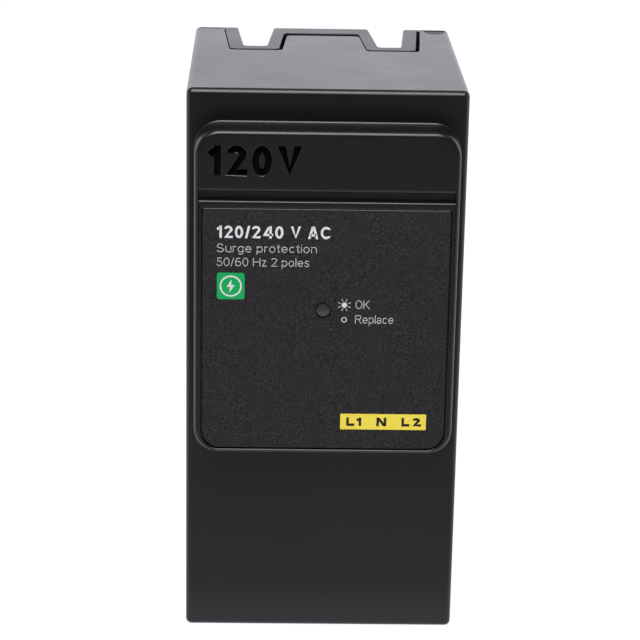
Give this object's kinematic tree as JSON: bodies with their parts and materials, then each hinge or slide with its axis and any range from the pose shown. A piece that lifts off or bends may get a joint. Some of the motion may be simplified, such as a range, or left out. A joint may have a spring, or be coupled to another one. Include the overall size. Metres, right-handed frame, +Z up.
{
  "type": "whole house surge protector",
  "caption": "Two-space plug-on surge protector for a load centre: tall black box with a raised labelled panel, status lamp, stab jaws in its end and a clip for the neutral rail.",
  "frame": {"origin": "middle of the bottom end: halfway across the width and halfway through the depth", "axes": "+X across the two breaker spaces to the right, +Y into the load centre, +Z up along the long side"},
  "size_m": [0.0508, 0.0636, 0.105],
  "materials": {
    "housing_plastic": "fine moulded texture",
    "base_plastic": "fine moulded texture",
    "label_film": "printed film",
    "clear_plastic": "polished, smoky",
    "led_plastic": "tinted",
    "board_laminate": "solder mask",
    "capacitor_plastic": "moulded",
    "rectifier_epoxy": "moulded",
    "barrier_paper": "pressed insulation paper",
    "copper": "rolled copper",
    "tinned_copper": "tin plate",
    "spring_steel": "drawn wire",
    "varistor_epoxy": "dipped epoxy",
    "solder": "reflowed",
    "arm_plastic": "moulded",
    "zinc_steel": "zinc plate",
    "switch_plastic": "moulded",
    "plunger_plastic": "moulded",
    "resistor_lacquer": "lacquered"
  },
  "bodies": {
    "housing": {"front_housing": "housing_plastic", "rear_base": "base_plastic", "face_label": "label_film", "light_pipe": "clear_plastic", "status_led": "led_plastic", "circuit_board": "board_laminate", "film_capacitor": "capacitor_plastic", "bridge_rectifier": "rectifier_epoxy", "insulating_barrier": "barrier_paper", "neutral_busbar": "copper", "neutral_clip": "tinned_copper", "neutral_clip_spring": "spring_steel", "line_jaw_left": "tinned_copper", "jaw_spring_left": "spring_steel", "line_strap_left": "copper", "varistor_left": "varistor_epoxy", "line_electrode_left": "tinned_copper", "solder_pad_left": "solder", "pivot_pin_left": "zinc_steel", "torsion_spring_left": "spring_steel", "shunt_braid_left": "copper", "switch_body_left": "switch_plastic", "drop_resistor_left": "resistor_lacquer", "line_jaw_right": "tinned_copper", "jaw_spring_right": "spring_steel", "line_strap_right": "copper", "varistor_right": "varistor_epoxy", "line_electrode_right": "tinned_copper", "solder_pad_right": "solder", "pivot_pin_right": "zinc_steel", "torsion_spring_right": "spring_steel", "shunt_braid_right": "copper", "switch_body_right": "switch_plastic", "drop_resistor_right": "resistor_lacquer", "case_screw_lower_left": "zinc_steel", "case_screw_lower_right": "zinc_steel", "case_screw_upper": "zinc_steel"},
    "arm_left": {"disconnect_arm_left": "arm_plastic"},
    "plunger_left": {"switch_plunger_left": "plunger_plastic"},
    "arm_right": {"disconnect_arm_right": "arm_plastic"},
    "plunger_right": {"switch_plunger_right": "plunger_plastic"}
  },
  "joints": [
    {"name": "disconnect_left", "type": "hinge", "parent": "housing", "child": "arm_left", "pos_m": [-0.01791, 0.01475, 0.074], "axis": [-1, 0, 0], "range_deg": [0, 20], "deforming": ["torsion_spring_left", "shunt_braid_left"]},
    {"name": "disconnect_right", "type": "hinge", "parent": "housing", "child": "arm_right", "pos_m": [0.01791, 0.01475, 0.074], "axis": [-1, 0, 0], "range_deg": [0, 20], "deforming": ["torsion_spring_right", "shunt_braid_right"]},
    {"name": "switch_left", "type": "slide", "parent": "housing", "child": "plunger_left", "axis": [0, -1, 0], "range_m": [0, 0.0014]},
    {"name": "switch_right", "type": "slide", "parent": "housing", "child": "plunger_right", "axis": [0, -1, 0], "range_m": [0, 0.0014]}
  ],
  "couplings": [
    {"joint": "switch_left", "follows": "disconnect_left", "m_per_rad": 0.004},
    {"joint": "switch_right", "follows": "disconnect_right", "m_per_rad": 0.004}
  ]
}
